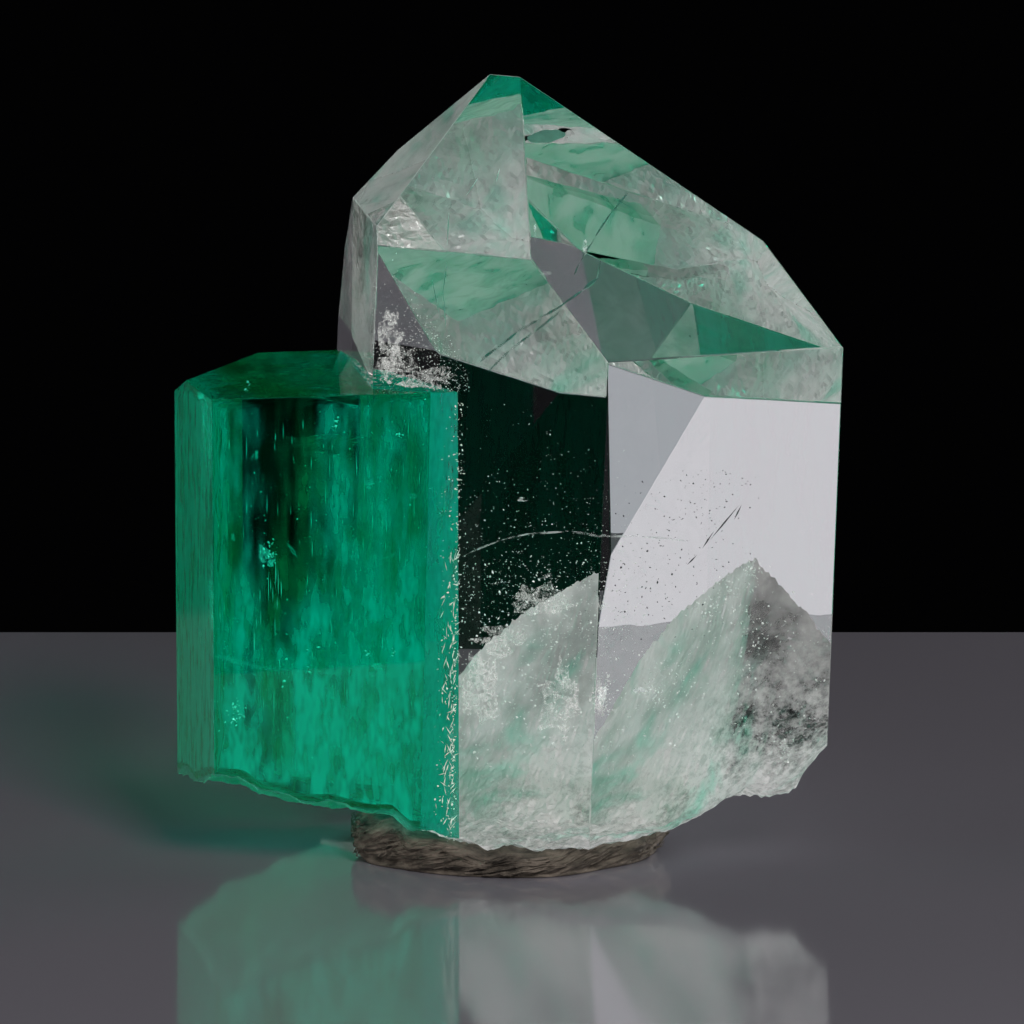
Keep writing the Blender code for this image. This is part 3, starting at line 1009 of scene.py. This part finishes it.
def make_emerald_veils(front, random):
    """A fracture across the emerald, two bright veils and some small ones."""
    veils = bmesh.new()
    for first, second in zip(FRACTURE_LINE, FRACTURE_LINE[1:]):
        start = behind(front, *first, 0.5, EMERALD_IOR)
        end = behind(front, *second, 0.5, EMERALD_IOR)
        inward = Vector((0.05, 0.5, 0.04)) * MM
        add_veil(veils, (start + end) / 2 + inward * 0.5, (end - start) * 0.6, inward, random, wave_mm=0.08)
    middle_place, right_end, top = BRIGHT_VEIL
    for depth in (0.5, 0.9):
        middle = behind(front, *middle_place, depth, EMERALD_IOR)
        across = behind(front, *right_end, depth + 0.1, EMERALD_IOR) - middle
        up = behind(front, *top, depth, EMERALD_IOR) - middle
        add_veil(veils, middle, across, up, random, ragged=0.9)
    for _ in range(SMALL_VEILS):
        x, y = pick(VEIL_ZONE, random)
        centre = behind(front, x, y, random.uniform(0.6, 3.0), EMERALD_IOR)
        across = Vector((random.gauss(0, 1), random.gauss(0, 1), random.gauss(0, 0.4))).normalized()
        up = across.cross(Vector((random.gauss(0, 0.4), 1, random.gauss(0, 0.4)))).normalized()
        wide, high = random.uniform(0.1, 0.3), random.uniform(0.15, 0.6)
        add_veil(veils, centre, across * wide * MM, up * high * MM, random, wave_mm=0.3, ragged=0.8)
    add_piece("emerald_veils", veils, film_material("veil_film", VEIL_GREEN, 0.15, 0.0, 0.45))


def make_emerald_inclusions(faces):
    """All that is sealed inside the emerald, apart from its haze."""
    random = Random(23)
    make_emerald_flecks(faces[EMERALD_FRONT], faces[EMERALD_LEFT], random)
    make_emerald_veils(faces[EMERALD_FRONT], random)


def make_contact_flecks(quartz_face):
    """White grains where the emerald's edge meets the quartz."""
    random = Random(37)
    grains = bmesh.new()
    for _ in range(SEAM_GRAINS):
        y = random.uniform(SEAM_TOP, SEAM_FOOT)
        edge = SEAM_X - SEAM_SHIFT * (y - SEAM_TOP) / SEAM_RUN
        x = edge + random.gauss(0, 1.6) if random.random() < 0.6 else random.uniform(edge - 20, edge)
        centre = behind(quartz_face, x, y, random.uniform(0.02, 0.35))
        add_splinter(grains, centre, random.uniform(0.12, 0.28) ** 2, random)
    for _ in range(SEAM_NEEDLES):
        y = random.uniform(NEEDLES_TOP, SEAM_FOOT)
        edge = SEAM_X - 1 - SEAM_SHIFT * (y - SEAM_TOP) / SEAM_RUN
        x = edge - abs(random.gauss(0, 7))
        start = behind(quartz_face, x, y, random.uniform(0.02, 0.3))
        tilt = Vector((random.gauss(0.05, 0.12), 0.0, random.uniform(0.08, 0.45))) * MM
        add_needle(grains, start, start + tilt, random.uniform(0.010, 0.026))
    add_piece("contact_grains", grains, grain_material("grain_pale", GRAIN_PALE, 0.3))


def pad_reach(direction):
    """Distance in mm from the pad's centre to its rim, along a flat unit direction."""
    across = direction.x / PAD_HALF_WIDTH_MM
    along_depth = direction.y / PAD_HALF_DEPTH_MM
    reach_mm = 1.0 / sqrt(across * across + along_depth * along_depth)
    angle = direction.to_2d().angle_signed(Vector((1.0, 0.0)), 0.0)
    for count, size, phase in PAD_LOBES:
        reach_mm *= 1.0 + size * sin(count * angle + phase)
    return reach_mm


def pad_fold(spot, level):
    """How far in mm the putty's folds and pulled strands stand out at a point of its side."""
    slanted = spot.z * 1.3 - 0.55 * spot.x
    fold = noise.noise(Vector((spot.x * 0.5, spot.y * 0.5, slanted * 1.4)))
    strand = 1 - abs(noise.noise(Vector((spot.x * 0.8, spot.y * 0.8, slanted * 4.2)))) * 2
    thread = 1 - abs(noise.noise(Vector((spot.x * 1.6, spot.y * 1.6, slanted * 10.5)))) * 2
    lip = 0.5 - abs(level - 0.72)
    return FOLD_MM * fold + STRAND_MM * strand + THREAD_MM * thread + LIP_MM * lip - FOLD_INSET_MM


def add_strand(maker, spots, radius_mm):
    """A thin pulled fibre through a few points, pointed at its far end."""
    rings = []
    for index, spot in enumerate(spots[:-1]):
        ahead = (spots[index + 1] - spot).normalized()
        aside = ahead.orthogonal().normalized()
        other = ahead.cross(aside)
        radius = radius_mm * MM * (1 - 0.8 * index / len(spots))
        ring = [aside * cos(turn * pi / 2) + other * sin(turn * pi / 2) for turn in range(4)]
        rings.append([maker.verts.new(spot + way * radius) for way in ring])
    root, tip = maker.verts.new(spots[0] - (spots[1] - spots[0]) * 0.3), maker.verts.new(spots[-1])
    for index in range(4):
        beside = (index + 1) % 4
        maker.faces.new((root, rings[0][beside], rings[0][index]))
        maker.faces.new((rings[-1][index], rings[-1][beside], tip))
        for first, second in zip(rings, rings[1:]):
            maker.faces.new((first[index], first[beside], second[beside], second[index]))


def putty_lump(rear):
    """The pad squashed under the broken bases: folded and fibrous round its side, flat below."""
    lump = bmesh.new()
    round_it, up_it = PAD_FINE_SEGMENTS
    bmesh.ops.create_uvsphere(lump, u_segments=round_it, v_segments=up_it, radius=1.0)
    for vertex in lump.verts:
        spot = Vector((vertex.co.x, vertex.co.y, 0.0))
        radius = spot.length
        level = min(max((vertex.co.z / PAD_FLAT_LEVEL + 1) / 2, 0.0), 1.0)
        direction = spot / radius if radius > 0.0 else Vector((1, 0, 0))
        on_side = abs(vertex.co.z) < PAD_FLAT_LEVEL
        spot = direction * pad_reach(direction) * (radius ** PAD_FULLNESS if on_side else radius)
        ceiling = min(break_height(spot.x, spot.y, rear) - PAD_CLEARANCE_MM, PAD_TOP_MM)
        spot.z = ceiling * level
        rim = smooth(0.55, 0.9, radius)
        spot += direction * pad_fold(spot, level) * rim * smooth(0.0, 0.2, level)
        spot.z += 0.10 * noise.noise(spot * 1.8) * smooth(0.5, 1.0, level)
        vertex.co = spot * MM
    return lump


def putty_strands(rear):
    """Fibres pulled out of the pad's side, lying along it and upwards to the right."""
    random = Random(5)
    strands = bmesh.new()
    for _ in range(PUTTY_STRANDS):
        angle = random.uniform(0, 2 * pi)
        height, step = random.uniform(0.15, 0.9), random.uniform(0.09, 0.2)
        spots = []
        lift = random.uniform(0.02, 0.10)
        for index in range(7):
            direction = Vector((cos(angle), sin(angle), 0.0))
            spot = direction * pad_reach(direction)
            ceiling = min(break_height(spot.x, spot.y, rear) - PAD_CLEARANCE_MM, PAD_TOP_MM)
            spot.z = max(ceiling * height, 0.06)
            out = pad_fold(spot, height) + lift * (index / 3.0)
            spot += direction * min(out, 0.12)
            spots.append(spot * MM)
            angle -= step * direction.y / 5.5 * random.uniform(0.6, 1.6)
            height += step * random.uniform(0.1, 0.7) * 0.55
        if all((b - a).length > 0.01 * MM for a, b in zip(spots, spots[1:])):
            add_strand(strands, spots, random.uniform(0.016, 0.045))
    return strands


def putty_material():
    """Dull grey-brown mineral putty, mottled darker and paler in streaks that lie level."""
    material, tree, shader, _ = make_material("putty_grey")
    set_inputs(shader, Roughness=0.8, Specular_IOR_Level=0.25)
    mottle = ramp(tree, spot_noise(tree, 900, detail=6, roughness=0.7, stretch=(1.0, 1.0, 3.0)), 0.35, 0.68)
    tint = add_node(tree, "MixRGB", Color1=(*PUTTY_DARK, 1.0), Color2=(*PUTTY_PALE, 1.0))
    tree.links.new(mottle, tint.inputs["Fac"])
    tree.links.new(tint.outputs["Color"], shader.inputs["Base Color"])
    tree.links.new(bump(tree, spot_noise(tree, 7000, detail=4), 0.03), shader.inputs["Normal"])
    return material


def make_putty(rear):
    """The pad and its fibres."""
    material = putty_material()
    pad = make_object("putty", putty_lump(rear), material)
    for polygon in pad.data.polygons:
        polygon.use_smooth = True
    finish_piece(pad, "putty_pad")
    add_piece("putty_fibres", putty_strands(rear), material)


def camera_place():
    """Where the camera stands, in metres, and which way is up in its picture."""
    elevation = radians(CAMERA_ELEVATION_DEG)
    back = Vector((0, -cos(elevation), sin(elevation)))
    up = Vector((0, sin(elevation), cos(elevation)))
    return (Vector(AIM_MM) + back * CAMERA_DISTANCE_MM) * MM, up


def make_camera():
    """A long lens at the photograph's angle."""
    lens = bpy.data.cameras.new("camera")
    lens.sensor_width = SENSOR_MM
    lens.lens = SENSOR_MM * CAMERA_DISTANCE_MM / FRAME_WIDTH_MM
    lens.clip_start = 0.01
    lens.clip_end = 20.0
    camera = bpy.data.objects.new("camera", lens)
    bpy.context.scene.collection.objects.link(camera)
    camera.rotation_euler = (radians(90 - CAMERA_ELEVATION_DEG), 0, 0)
    camera.location = camera_place()[0]
    bpy.context.scene.camera = camera


def make_lamp(name, turn_deg, elevation_deg, distance_mm, size_mm, power, colour):
    """A soft rectangular lamp that faces the specimen."""
    light = bpy.data.lights.new(name, "AREA")
    light.shape = "RECTANGLE"
    light.size, light.size_y = (size * MM for size in size_mm)
    light.energy = power
    light.color = colour
    lamp = bpy.data.objects.new(name, light)
    bpy.context.scene.collection.objects.link(lamp)
    turn = radians(turn_deg)
    rise = radians(elevation_deg)
    way = Vector((sin(turn) * cos(rise), cos(turn) * cos(rise), sin(rise)))
    lamp.location = (Vector(LAMP_AIM_MM) + way * distance_mm) * MM
    lamp.rotation_euler = way.to_track_quat("Z", "Y").to_euler()
    return lamp


def make_light():
    """A dark room with three soft boxes behind the specimen, one above, one in front, one at each side."""
    world = bpy.data.worlds.new("room")
    world.use_nodes = True
    world.node_tree.nodes["Background"].inputs["Color"].default_value = (*ROOM_COLOUR, 1.0)
    bpy.context.scene.world = world
    for *place, through, in_gloss in LAMPS:
        lamp = make_lamp(*place)
        lamp.visible_transmission = through
        lamp.visible_glossy = in_gloss


def make_floor():
    """A plain, glossy table top under the specimen."""
    floor = bmesh.new()
    bmesh.ops.create_grid(floor, x_segments=1, y_segments=1, size=1.0)
    half_width, half_depth = TABLE_HALF_MM
    for vertex in floor.verts:
        vertex.co = Vector((vertex.co.x * half_width, vertex.co.y * half_depth, 0.0)) * MM
    material, _, shader, _ = make_material("table")
    set_inputs(shader, Base_Color=(*TABLE_COLOUR, 1.0), Roughness=0.08, Specular_IOR_Level=0.35)
    make_object("table", floor, material)


make_camera()
make_light()
make_floor()
QUARTZ_FACES = quartz_planes()
EMERALD_FACES = emerald_planes()
make_crystals(QUARTZ_FACES, EMERALD_FACES)
make_quartz_inclusions(QUARTZ_FACES)
make_emerald_haze(EMERALD_FACES, QUARTZ_FACES[PRISM_REAR])
make_emerald_inclusions(EMERALD_FACES)
make_contact_flecks(QUARTZ_FACES[PRISM_FRONT])
make_putty(QUARTZ_FACES[PRISM_REAR])
bpy.context.scene.view_settings.view_transform = "Standard"
